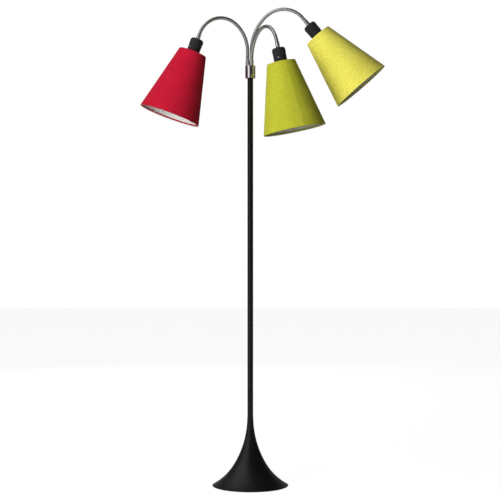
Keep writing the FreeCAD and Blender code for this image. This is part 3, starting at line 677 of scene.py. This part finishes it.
@dataclass
class Gooseneck:
    """One hose: its line and the wound tube that follows it."""

    arm: Arm
    circle_radius: float = 8.4
    collar_top: float = 1317.0
    ferrule_floor: float = 8.0
    radius: float = 5.45
    pitch: float = 2.9
    rib: float = 0.26
    around: int = 26
    per_rib: int = 7
    bend_reach: float = 55.0
    tail_reach: float = 30.0
    arc_share: float = 0.42

    def __post_init__(self) -> None:
        """Work out the stations from the bending data."""
        bends = BENDS[self.arm]
        socket = math.radians(bends.socket_angle)
        heading = math.radians(bends.heading)
        seat = np.array([self.circle_radius * math.cos(socket),
                         self.circle_radius * math.sin(socket), self.collar_top]) * MM
        side = np.array([math.cos(heading), math.sin(heading), 0.0])
        self.bends = bends
        self.seat = Placing(seat, side, np.array([0.0, 0.0, 1.0]))
        self.first = self.seat.moved(bends.rise * MM)
        self.first_turn = math.radians(bends.first_angle)
        self.second_turn = math.radians(bends.second_angle)
        before = self.first.bent(bends.first_radius * MM, self.first_turn)
        self.second = before.rolled(math.radians(bends.roll))
        self.tail = self.second.bent(bends.second_radius * MM, self.second_turn)
        self.end = self.tail.moved(bends.tail * MM)
        self.lengths = np.array([bends.rise * MM, bends.first_radius * MM * self.first_turn,
                                 bends.second_radius * MM * self.second_turn,
                                 bends.tail * MM])

    def line(self, run: np.ndarray) -> tuple[np.ndarray, np.ndarray, np.ndarray]:
        """The centre line at distances along the hose.

        On a straight run the point is p + a s; on a bend of radius R it is
        p + a R sin(s/R) + n R (1 - cos(s/R)). The roll is taken back out of the second
        bend's axes, so that the tube isn't twisted there.

        Args:
            run: distances from the collar, in metres.
        Returns:
            Points, side axes and across axes.
        """
        starts = np.concatenate([[0.0], np.cumsum(self.lengths)])
        limits = np.array([-math.inf, *starts[1:-1], math.inf])
        point, side, across = np.zeros((3, len(run), 3))
        stations = [(self.seat, 0.0), (self.first, self.bends.first_radius * MM),
                    (self.second, self.bends.second_radius * MM), (self.tail, 0.0)]
        for index, (station, radius) in enumerate(stations):
            inside = (run >= limits[index]) & (run < limits[index + 1])
            along = (run[inside] - starts[index])[:, None]
            if radius:
                turn = along / radius
                point[inside] = (station.point + station.ahead * radius * np.sin(turn)
                                 + station.side * radius * (1 - np.cos(turn)))
                here = station.side * np.cos(turn) - station.ahead * np.sin(turn)
            else:
                point[inside] = station.point + station.ahead * along
                here = np.broadcast_to(station.side, (len(along), 3))
            there = np.broadcast_to(station.across, here.shape)
            back = math.radians(self.bends.roll) if index >= 2 else 0.0
            side[inside] = here * math.cos(back) - there * math.sin(back)
            across[inside] = there * math.cos(back) + here * math.sin(back)
        return point, side, across

    def tube(self, name: str, start: float, finish: float) -> bpy.types.Object:
        """The wound tube between two distances along the hose.

        The radius is r + b (1 - (2 f - 1)^2)^0.5 - b, where f is the fraction of
        s / pitch - a / full turn, so the ribs are one helix of round wire.

        Args:
            name: the object's name.
            start: first distance, in metres.
            finish: last distance, in metres.
        Returns:
            The object.
        """
        step = self.pitch * MM / self.per_rib
        run = np.linspace(start, finish, int(round((finish - start) / step)) + 1)
        angle = np.linspace(0.0, TURN, self.around, endpoint=False)
        phase = run[:, None] / (self.pitch * MM) - angle[None, :] / TURN
        fraction = phase - np.floor(phase)
        swell = np.sqrt(np.clip(1 - (2 * fraction - 1) ** 2, 0.0, 1.0))
        radius = (self.radius + self.rib * (swell - 1.0)) * MM
        point, side, across = self.line(run)
        points = (point[:, None] + side[:, None] * (radius * np.cos(angle))[..., None]
                  + across[:, None] * (radius * np.sin(angle))[..., None])
        return grid_piece(name, points, HOSE_CHROME)

    def build(self) -> None:
        """Make the two halves of the tube and hide the CAD hose nodes that they replace."""
        name = self.arm.value
        floor = self.ferrule_floor * MM
        joint, tail, whole = np.cumsum(self.lengths)[1:]
        arc = self.lengths[2]
        lower = self.tube("wound_hose_lower_" + name, floor, joint + arc * 0.5)
        upper = self.tube("wound_hose_upper_" + name, joint + arc * 0.5, whole - floor)
        reach = self.bend_reach * MM
        near_tail = min(self.tail_reach * MM, arc * self.arc_share)
        ends, _, _ = self.line(np.array([joint - reach, joint + min(reach, arc * self.arc_share),
                                         tail - near_tail, whole - floor * 0.5]))
        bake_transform(lower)
        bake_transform(upper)
        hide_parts("hose_lower_" + name, "hose_upper_" + name)
        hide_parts("hose_tail_" + name)
        LOG.info("hose %s: %.0f mm along its line", name, whole * 1000)


# --- Base, pole and collar ---


@dataclass
class Stand:
    """The trumpet base, the pole and the collar."""

    base_radius: float = 119.2
    base_height: float = 215.0
    neck_radius: float = 9.6
    knee_radius: float = 51.0
    knee_height: float = 67.0
    rim_slope: float = 60.0
    rim_height: float = 1.2
    wall: float = 1.6
    pole_radius: float = 9.0
    pole_wall: float = 1.2
    pole_edge: float = 0.35
    pole_joint: float = 700.0
    pole_top: float = 1290.0
    collar_radius: float = 16.0
    collar_bottom: float = 1278.0
    collar_height: float = 39.0

    def flare(self, inset: float) -> np.ndarray:
        """The flare from neck to rim: two hollow arcs that meet at the knee.

        The upper arc leaves the neck upright; the lower one turns by what is left of the
        rim's slope. An inset moves both away from their centres.

        Args:
            inset: how far inside the outer surface, in millimetres.
        Returns:
            (radius, height) pairs from the neck down.
        """
        spread = self.knee_radius - self.neck_radius
        rise = self.base_height - self.knee_height
        upper = (spread ** 2 + rise ** 2) / (2 * spread)
        knee = math.asin(rise / upper)
        rim = math.radians(self.rim_slope)
        reach = self.base_radius - self.knee_radius
        fall = self.knee_height - self.rim_height
        half = (rim - knee) / 2
        lower = math.hypot(reach, fall) / (2 * math.sin(half))
        chord = math.atan2(reach, fall)
        turn = np.linspace(0.0, knee, 28)
        first = np.stack([self.neck_radius + upper - (upper + inset) * np.cos(turn),
                          self.base_height - (upper + inset) * np.sin(turn)], axis=1)
        turn = np.linspace(chord - half, chord + half, 26)[1:]
        centre = (self.knee_radius + lower * math.cos(chord - half),
                  self.knee_height + lower * math.sin(chord - half))
        second = np.stack([centre[0] - (lower + inset) * np.cos(turn),
                           centre[1] - (lower + inset) * np.sin(turn)], axis=1)
        return np.vstack([first, second])

    def build(self) -> None:
        """Make and dress the pieces of the stand."""
        outer = self.flare(0.0)
        inner = self.flare(self.wall)
        lip = 0.8 * self.wall
        rim = np.array([[self.base_radius - 0.2 * lip, self.rim_height - 0.3 * lip],
                        [self.base_radius - lip, self.rim_height - 0.4 * lip],
                        [inner[-1][0] + 0.2, self.rim_height]])
        neck = np.array([[self.neck_radius - self.wall, self.base_height],
                         [self.neck_radius - 0.5, self.base_height]])
        outer[0, 1] -= 0.5
        inside = inner[inner[:, 1] > self.rim_height + 0.3][::-1]
        inside = inside[inside[:, 1] < self.base_height - 0.5]
        outline = np.vstack([neck, outer, rim, inside])
        shell = turned_piece("trumpet_base", outline, BLACK_COAT, around=160, closed=True)
        ride(shell, "stand", "black_paint", "base_shell")
        radius, edge = self.pole_radius, self.pole_edge
        bore = radius - self.pole_wall
        for name, low, high in (("pole_lower_tube", self.base_height, self.pole_joint),
                                ("pole_upper_tube", self.pole_joint, self.pole_top)):
            side = [(radius, z) for z in np.linspace(low + edge, high - edge, 24)]
            loop = np.array([(bore, low), (radius - edge, low), *side,
                             (radius - edge, high), (bore, high)])
            tube = turned_piece(name, loop, BLACK_COAT, around=72, closed=True)
            ride(tube, "stand", "black_paint", name.removesuffix("_tube"))
        low, high = self.collar_bottom, self.collar_bottom + self.collar_height
        hole, inside, floor = self.pole_radius + 0.1, self.collar_radius - 1.5, low + 1.8
        sleeve = turned_piece("chromed_collar", finished_loop(
            [(hole, low), (self.collar_radius, low), (self.collar_radius, high),
             (inside, high), (inside, floor), (hole, floor)], 0.7), CHROME, closed=True)
        ride(sleeve, "stand", "chrome", "collar_sleeve")
        LOG.info("stand: base, pole tubes and collar")


# --- Heads ---


@dataclass
class Head:
    """One lampholder with its bulb, push button and fabric shade."""

    arm: Arm
    neck: Gooseneck
    ferrule_radius: float = 6.4
    ferrule_length: float = 17.0
    shade_top: float = 43.5
    shade_bottom: float = 95.5
    shade_height: float = 208.6
    shade_drop: float = 44.5
    canvas: float = 0.5
    lining: float = 0.35
    hem: float = 5.6
    hem_width: float = 4.4
    wire: float = 1.6
    frame_gap: float = 0.25
    lining_gap: float = 0.03
    wire_bore: float = 2.8
    stem_radius: float = 4.2
    stem_head: float = 4.9
    stem_end: float = -13.4
    stem_neck: float = -11.4
    stem_top: float = 0.4
    nipple_radius: float = 4.8
    nipple_length: float = 9.0
    cap_hole: float = 4.9
    cap_crown: float = 14.0
    cap_dome: float = 7.0
    cap_spread: float = 6.15
    cap_radius: float = 20.75
    cap_bead: float = 7.8
    cap_height: float = 12.4
    cap_bore: float = 18.3
    cap_wall: float = 2.4
    thread_bore: float = 19.3
    ring_radius: float = 23.6
    ring_low: float = 49.9
    ring_high: float = 55.8
    plate_radius: float = 24.5
    plate_low: float = 48.1
    plate_high: float = 49.7
    button_radius: float = 2.6
    button_length: float = 4.2
    button_drop: float = 30.0
    button_seat: float = 16.8
    seam_height: float = 0.4
    weld_radius: float = 23.5
    weld_height: float = 48.9
    spokes: int = 3
    spoke_dip: float = 1.5

    @property
    def half_angle(self) -> float:
        """The angle between the cone's axis and its side."""
        return math.atan((self.shade_bottom - self.shade_top) / self.shade_height)

    def build(self) -> None:
        """Make every piece of the head."""
        name = self.arm.value
        self.ferrules(name)
        self.holder(name)
        self.shade(name)
        self.frame(name)
        self.bulb(name)
        LOG.info("head %s: ferrules, holder, shade, frame and bulb", name)

    def ferrules(self, name: str) -> None:
        """The chromed ends of the hose: at the collar and at the lampholder.

        Args:
            name: the arm's name, which ends its pieces' names.
        """
        hole, floor = self.neck.radius + 0.1, self.neck.ferrule_floor
        length, radius, bore = self.ferrule_length, self.ferrule_radius, self.wire_bore
        low = turned_piece("collar_ferrule_" + name, finished_loop(
            [(bore, self.stem_end), (self.stem_head, self.stem_end),
             (self.stem_head, self.stem_neck), (self.stem_radius, self.stem_neck),
             (self.stem_radius, self.stem_top), (radius, self.stem_top), (radius, length),
             (hole, length), (hole, floor), (bore, floor)], 0.5),
            CHROME, self.neck.seat, 56, True)
        ride(low, "arm_lower_" + name, "chrome", "hose_socket_" + name)
        high = turned_piece("holder_ferrule_" + name, finished_loop(
            [(hole, -length), (radius, -length), (radius, 0.0), (self.nipple_radius, 0.0),
             (self.nipple_radius, self.nipple_length), (bore, self.nipple_length),
             (bore, -floor), (hole, -floor)], 0.5), CHROME, self.neck.end, 56, True)
        ride(high, "head_" + name, "chrome", "hose_end_" + name)

    def holder(self, name: str) -> None:
        """The moulded cap, the ring that clamps the shade, and the push button.

        Args:
            name: the arm's name, which ends its pieces' names.
        """
        crown, rise = self.cap_crown, self.cap_dome
        dome = [(crown + self.cap_spread * math.sin(t), rise - rise * math.cos(t))
                for t in np.linspace(0.0, math.pi / 2, 9)]
        cap = turned_piece("holder_top_" + name, finished_loop(
            [(self.cap_hole, 0.0), *dome, (self.cap_radius, self.cap_bead),
             (self.cap_radius, self.cap_height), (self.cap_bore, self.cap_height),
             (self.cap_bore, rise), (crown, self.cap_wall), (self.cap_hole, self.cap_wall)],
            0.35), BLACK_PLASTIC, self.neck.end, 96, True)
        ride(cap, "head_" + name, "black_plastic", "holder_cap_" + name)
        low, high = self.ring_low, self.ring_high
        ring = turned_piece("shade_nut_" + name, finished_loop(
            [(self.thread_bore, low), (self.ring_radius, low), (self.ring_radius, high - 0.9),
             (self.ring_radius - 1.0, high), (self.thread_bore, high)], 0.4),
            BLACK_PLASTIC, self.neck.end, 96, True)
        ride(ring, "head_" + name, "black_plastic", "shade_ring_" + name)
        radius, length = self.button_radius, self.button_length
        button = turned_piece("push_button_" + name, softened(
            [(0.0, 0.0), (radius, 0.0), (radius, length - 0.4), (radius - 0.8, length - 0.05),
             (0.0, length)], 0.3), BUTTON_PLASTIC, self.button_place(), 40)
        ride(button, "switch_" + name, "grey_plastic", "switch_button_" + name)

    def button_place(self) -> Placing:
        """Where the push button stands.

        Returns:
            The place of its inner end, with Z out of the holder.
        """
        end = self.neck.end
        angle = math.radians(self.neck.bends.button_angle)
        out = end.side * math.cos(angle) + end.across * math.sin(angle)
        point = end.point + end.ahead * self.button_drop * MM + out * self.button_seat * MM
        return Placing(point, end.ahead, out)

    def cone(self, height: np.ndarray | float) -> np.ndarray | float:
        """The shade's outer radius at a height below the holder's top."""
        share = (height - self.shade_drop) / self.shade_height
        return self.shade_top + (self.shade_bottom - self.shade_top) * share

    def flat_cut(self, radii: np.ndarray, around: int) -> np.ndarray:
        """Places on the flat cut of a cone: (d cos k, d sin k) with k = a sin(half angle).

        Args:
            radii: the cone's radius at each row, in metres.
            around: columns round the cone.
        Returns:
            rows x (around + 1) x 2 places in metres.
        """
        narrowing = math.sin(self.half_angle)
        slant = (radii / narrowing)[:, None]
        swing = np.linspace(-math.pi, math.pi, around + 1)[None, :] * narrowing
        return np.stack([slant * np.cos(swing), slant * np.sin(swing)], axis=-1)

    def canvas_outline(self) -> tuple[np.ndarray, int]:
        """The canvas in section: outside, rolled hem, its fold inside, back up, and the top.

        Returns:
            (radius, height) pairs, and how many of them are the outside.
        """
        top, bottom = self.shade_drop, self.shade_drop + self.shade_height
        rows = np.linspace(top + 1.2, bottom - self.wire - 0.6, 60)
        outer = np.stack([self.cone(rows), rows], axis=1)
        roll = np.linspace(0.0, math.pi, 11)
        turn_in = np.stack([self.cone(bottom) - self.hem_width / 2 * (1 - np.cos(roll)),
                            bottom - self.wire + self.wire * np.sin(roll)], axis=1)
        fold_rows = np.linspace(bottom - self.wire - 0.8, bottom - self.hem, 6)
        fold = np.stack([self.cone(fold_rows) - self.hem_width, fold_rows], axis=1)
        inner_rows = np.concatenate([[bottom - self.hem - 0.5], rows[::-1][2:]])
        inner_rows = inner_rows[inner_rows < bottom - self.hem]
        inner = np.stack([self.cone(inner_rows) - self.canvas, inner_rows], axis=1)
        edge = self.cone(top)
        head = np.array([[edge - self.canvas - 0.1, top + 0.3], [edge - 0.25, top],
                         [edge - 0.02, top + 0.4]])
        return np.vstack([outer, turn_in, fold, inner, head]), len(outer)

    def shade(self, name: str) -> None:
        """The canvas with its rolled hem and lapped seam, and the white lining.

        A point of the canvas is ((r + seam(a)) cos a, (r + seam(a)) sin a, h), with the
        seam's height added on the outside only.

        Args:
            name: the arm's name, which ends its pieces' names.
        """
        around = 180
        place = self.neck.end
        outline, outside = self.canvas_outline()
        profile = outline * MM
        angle = np.linspace(-math.pi, math.pi, around, endpoint=False)
        proud = np.zeros((len(outline), around))
        proud[:outside] = self.seam(angle)
        radius = profile[:, 0][:, None] + proud
        points = np.stack([radius * np.cos(angle), radius * np.sin(angle),
                           np.broadcast_to(profile[:, 1][:, None], radius.shape)], axis=-1)
        canvas = grid_piece("canvas_shade_" + name, place.apply(points), CANVAS[self.arm],
                            True, self.flat_cut(profile[:, 0], around))
        ride(canvas, "head_" + name, FABRIC_SLOT[self.arm], "shade_cover_" + name)
        rows = np.linspace(self.shade_drop + 0.8,
                           self.shade_drop + self.shade_height - self.hem + 1.5, 40)
        near = self.canvas + self.lining_gap
        far = near + self.lining
        lining = np.vstack([np.stack([self.cone(rows) - near, rows], axis=1),
                            np.stack([self.cone(rows) - far, rows], axis=1)[::-1]])
        liner = turned_piece("white_lining_" + name, lining, LINING, place, around, True)
        ride(liner, "head_" + name, "white_wire")

    def seam(self, angle: np.ndarray) -> np.ndarray:
        """The lapped seam's height over the canvas: h / (1 + exp((a - w) / s)).

        Here a is the angle from the seam's middle, w half the seam's width and s how
        softly it ends, all in radians.

        Args:
            angle: angles round the shade, in radians.
        Returns:
            The height at each angle, in metres.
        """
        half_width, softness = 0.075, 0.012
        from_cut = np.abs(np.abs(angle) - math.pi)
        return self.seam_height * MM / (1 + np.exp((from_cut - half_width) / softness))

    def frame(self, name: str) -> None:
        """The top and bottom wire rings, the fitter plate and its three spokes.

        Args:
            name: the arm's name, which ends its pieces' names.
        """
        place = self.neck.end
        inset = self.canvas + self.lining + self.wire + self.frame_gap
        top, bottom = self.shade_drop + self.wire, self.shade_drop + self.shade_height - self.wire
        around = np.linspace(0.0, TURN, 20, endpoint=False)
        pieces = []
        for label, height in (("top", top), ("low", bottom)):
            radius = self.cone(height) - inset
            loop = np.stack([radius + self.wire * np.cos(around),
                             height + self.wire * np.sin(around)], axis=1)
            pieces.append(turned_piece("%s_wire_%s" % (label, name), loop, WHITE_WIRE, place,
                                       120, True))
        low, high = self.plate_low, self.plate_high
        pieces.append(turned_piece("fitter_plate_" + name, finished_loop(
            [(self.thread_bore, low), (self.plate_radius, low), (self.plate_radius, high),
             (self.thread_bore, high)], 0.3), WHITE_WIRE, place, 96, True))
        for index in range(self.spokes):
            angle = math.radians(60 + 360 / self.spokes * index)
            outward = np.array([math.cos(angle), math.sin(angle), 0.0])
            start = outward * self.weld_radius + np.array([0.0, 0.0, self.weld_height])
            finish = outward * (self.cone(top) - inset) + np.array([0.0, 0.0, top])
            pieces.append(self.spoke("spoke_%s_%d" % (name, index), start, finish, place))
        for piece in pieces:
            ride(piece, "head_" + name, "white_wire")
        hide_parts("shade_frame_" + name)

    def spoke(self, name: str, start: np.ndarray, finish: np.ndarray,
              place: Placing) -> bpy.types.Object:
        """A wire that dips a little between its two welds.

        Its centre is start + (finish - start) t + z d sin(pi t), where z points down the
        holder and d is the dip; its ends close to points inside the welds.

        Args:
            name: the object's name.
            start: the weld on the fitter plate, in millimetres in the head's axes.
            finish: the weld on the top wire, likewise.
            place: the head's place.
        Returns:
            The object.
        """
        share = np.linspace(0.0, 1.0, 17)
        centre = start + (finish - start) * share[:, None]
        centre[:, 2] += self.spoke_dip * np.sin(math.pi * share)
        run = (finish - start) / np.linalg.norm(finish - start)
        flat = np.cross(run, [0.0, 0.0, 1.0])
        flat /= np.linalg.norm(flat)
        up = np.cross(flat, run)
        angle = np.linspace(0.0, TURN, 16, endpoint=False)[None, :, None]
        inside = (share > 0) & (share < 1)
        thick = self.wire * 0.8 * inside[:, None, None]
        points = centre[:, None] + thick * (flat * np.cos(angle) + up * np.sin(angle))
        return grid_piece(name, place.apply(points * MM), WHITE_WIRE)

    def bulb(self, name: str) -> None:
        """The opal bulb: a neck that swells by the power 2.1 of its length into a ball.

        Args:
            name: the arm's name, which ends its pieces' names.
        """
        cap_end, cap_radius, neck_end, ball, throat = 54.0, 12.7, 74.0, 30.0, 14.5
        centre = neck_end + math.sqrt(ball ** 2 - throat ** 2)
        turn = np.linspace(math.asin(throat / ball) + 0.35, math.pi, 40)
        round_part = np.stack([ball * np.sin(turn), centre - ball * np.cos(turn)], axis=1)
        share = np.linspace(0.0, 1.0, 14)[:-1]
        radius, height = round_part[0]
        neck = np.stack([cap_radius + (radius - cap_radius) * share ** 2.1,
                         cap_end + (height - cap_end) * share], axis=1)
        outline = np.vstack([[(0.0, cap_end)], neck, round_part])
        outline[-1, 0] = 0.0
        glass = turned_piece("opal_bulb_" + name, outline, OPAL, self.neck.end)
        ride(glass, "head_" + name, "opal_glass", "bulb_glass_" + name)


# --- Dressing the rest ---


def ride(piece: bpy.types.Object, body: str, slot: str, *nodes: str) -> None:
    """Fix a piece to a body and hide the CAD nodes that it stands for.

    Args:
        piece: the piece.
        body: the body it moves with.
        slot: the record's material slot; not used.
        nodes: the CAD nodes that it replaces.
    """
    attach(piece, body)
    if nodes:
        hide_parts(*nodes)


class InnerPieces:
    """The pieces that keep their CAD meshes and only get a finish."""

    BY_SLOT = {
        "black_paint": BLACK_COAT, "cast_iron": CAST_IRON, "steel": STEEL, "felt": FELT,
        "grommet_rubber": RUBBER, "chrome": CHROME, "chrome_hose": HOSE_CHROME,
        "black_plastic": BLACK_PLASTIC, "grey_plastic": BUTTON_PLASTIC,
        "porcelain": PORCELAIN, "brass": BRASS, "bulb_metal": BRASS, "opal_glass": OPAL,
        "white_wire": WHITE_WIRE, **{FABRIC_SLOT[arm]: CANVAS[arm] for arm in Arm}}

    def dress(self, frame: dict) -> None:
        """Assign each node's finish by its slot in the record.
        """
        slots = {part["node"]: part["material_slot"] for part in frame["record"]["subparts"]}
        for name, node in frame["nodes"].items():
            if node.type != "MESH":
                continue
            finish = self.BY_SLOT[slots[name]].material()
            if not node.material_slots:
                node.data.materials.append(finish)
            for slot in node.material_slots:
                slot.material = finish
        LOG.info("dressed %d nodes", len(frame["nodes"]))


# --- Studio ---


@dataclass
class Studio:
    """Floor, soft lamps, white surroundings and the camera at the photograph's view."""

    distance: float = 3.952
    eye_height: float = 0.739
    focal_pixels: float = 1258.7
    image_pixels: float = 500.0
    sensor: float = 36.0
    centre_column: float = 250.3
    pixels_per_mm: float = 0.3185
    aim: tuple[float, float, float] = (0.0, 0.0, 1.1)
    floor_half: float = 12.0
    floor_mirrored: float = 0.15
    floor_share: float = 0.72
    floor_glow: float = 1.3
    dim: float = 0.055

    def build(self) -> None:
        """Make the studio."""
        self.floor()
        self.lamps()
        self.world()
        self.camera()

    def floor(self) -> None:
        """A pale floor that shows white to the camera and keeps the lamp's shadow."""
        half = self.floor_half
        mesh = bpy.data.meshes.new("studio_floor")
        mesh.from_pydata([(-half, -half, 0), (half, -half, 0), (half, half, 0), (-half, half, 0)],
                         [], [(0, 1, 2, 3)])
        floor = add_object("studio_floor", mesh)
        material = bpy.data.materials.new("studio_white")
        graph = Graph(material)
        rays = graph.node("ShaderNodeLightPath")
        glossy, clear = rays.beside("Is Glossy Ray"), rays.beside("Is Transmission Ray")
        seen = rays.maximum(glossy * self.floor_mirrored).maximum(clear) * self.floor_share
        paper = graph.node("ShaderNodeBsdfDiffuse", None, {"Color": (0.5, 0.5, 0.5, 1.0)})
        glow = graph.node("ShaderNodeEmission", None,
                          {"Color": (1, 1, 1, 1), "Strength": self.floor_glow})
        mixed = graph.node("ShaderNodeMixShader", None, {0: seen, 1: paper, 2: glow})
        graph.node("ShaderNodeOutputMaterial", None, {"Surface": mixed})
        mesh.materials.append(material)

    def lamps(self) -> None:
        """Large soft lamps: two in front on the left, one behind and two weak ones.

        They light the matte surfaces; shiny ones see the world's cards instead.
        """
        settings = (("key", (-2.75, -3.2, 1.3), 2.3, 108.0),
                    ("front", (-1.6, -3.4, 1.9), 2.2, 72.0),
                    ("fill", (2.7, -3.0, 0.8), 1.6, 2.0),
                    ("top", (-0.6, -0.8, 3.9), 2.4, 5.0),
                    ("back", (-1.2, 3.6, 2.0), 2.4, 65.0))
        for name, place, metres, watts in settings:
            light = bpy.data.lights.new(name, "AREA")
            light.size = metres
            light.energy = watts
            holder = add_object(name, light)
            holder.visible_glossy = False
            holder.location = place
            holder.rotation_euler = self.facing(np.array(self.aim) - np.array(place))

    @staticmethod
    def facing(aim: np.ndarray) -> tuple[float, float, float]:
        """Euler angles that point an object's -Z along aim."""
        flat = math.hypot(aim[0], aim[1])
        return (math.atan2(flat, -aim[2]), 0.0, math.atan2(-aim[0], aim[1]))

    def card(self, graph: Graph, way: Signal, toward: tuple[float, float, float],
             edge: float, full: float, strength: float) -> Signal:
        """A soft card in a dark room, as shiny surfaces see it.

        Args:
            graph: the world's graph.
            way: the direction of the ray.
            toward: where the card is, as a direction from the lamp.
            edge: cosine of the angle from its middle at which the card ends.
            full: cosine of the angle at which it is fully bright.
            strength: its brightness; 1 is white.
        Returns:
            The card's brightness in the ray's direction.
        """
        aim = np.array(toward) / np.linalg.norm(toward)
        near = graph.node("ShaderNodeVectorMath", {"operation": "DOT_PRODUCT"},
                          {0: way, 1: tuple(aim)}, "Value")
        return graph.fitted(near, edge, full, 0.0, strength)

    def world(self) -> None:
        """White to the camera, a dim fill, and soft cards for shiny surfaces to show."""
        world = bpy.data.worlds.new("studio_world")
        bpy.context.scene.world = world
        graph = Graph(world)
        rays = graph.node("ShaderNodeLightPath")
        glossy, clear = rays.beside("Is Glossy Ray"), rays.beside("Is Transmission Ray")
        way = graph.node("ShaderNodeTexCoord", output="Generated")
        cards = self.card(graph, way, (-0.72, -0.66, 0.05), 0.82, 0.95, 1.1)
        for setting in (((0.8, -0.55, 0.1), 0.84, 0.93, 0.06),
                        ((-0.56, -0.12, 0.82), 0.8, 0.96, 1.2),
                        ((0.0, 1.0, 0.0), 0.75, 1.0, 0.4)):
            cards = cards.maximum(self.card(graph, way, *setting))
        seen = rays.maximum(glossy * cards).maximum(clear)
        dim = {"Color": (1, 1, 1, 1), "Strength": self.dim}
        fill = graph.node("ShaderNodeBackground", None, dim)
        white = graph.node("ShaderNodeBackground", None, {**dim, "Strength": 1.0})
        mixed = graph.node("ShaderNodeMixShader", None, {0: seen, 1: fill, 2: white})
        graph.node("ShaderNodeOutputWorld", None, {"Surface": mixed})

    def camera(self) -> None:
        """A level camera in front of the lamp, at the photograph's distance and height."""
        data = bpy.data.cameras.new("camera")
        data.sensor_width = self.sensor
        data.lens = self.focal_pixels / self.image_pixels * self.sensor
        camera = add_object("camera", data)
        aside = (self.image_pixels / 2 - self.centre_column) / self.pixels_per_mm * MM
        camera.location = (aside, -self.distance, self.eye_height)
        camera.rotation_euler = (math.pi / 2, 0.0, 0.0)
        bpy.context.scene.camera = camera


def main() -> None:
    """Build the lamp round its frame and set up the studio."""
    logging.basicConfig(level=logging.INFO, format="%(message)s")
    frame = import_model()
    InnerPieces().dress(frame)
    Stand().build()
    for arm in Arm:
        neck = Gooseneck(arm)
        neck.build()
        Head(arm, neck).build()
    Studio().build()
    bpy.context.scene.view_settings.view_transform = "Standard"


if __name__ == "__main__":
    main()
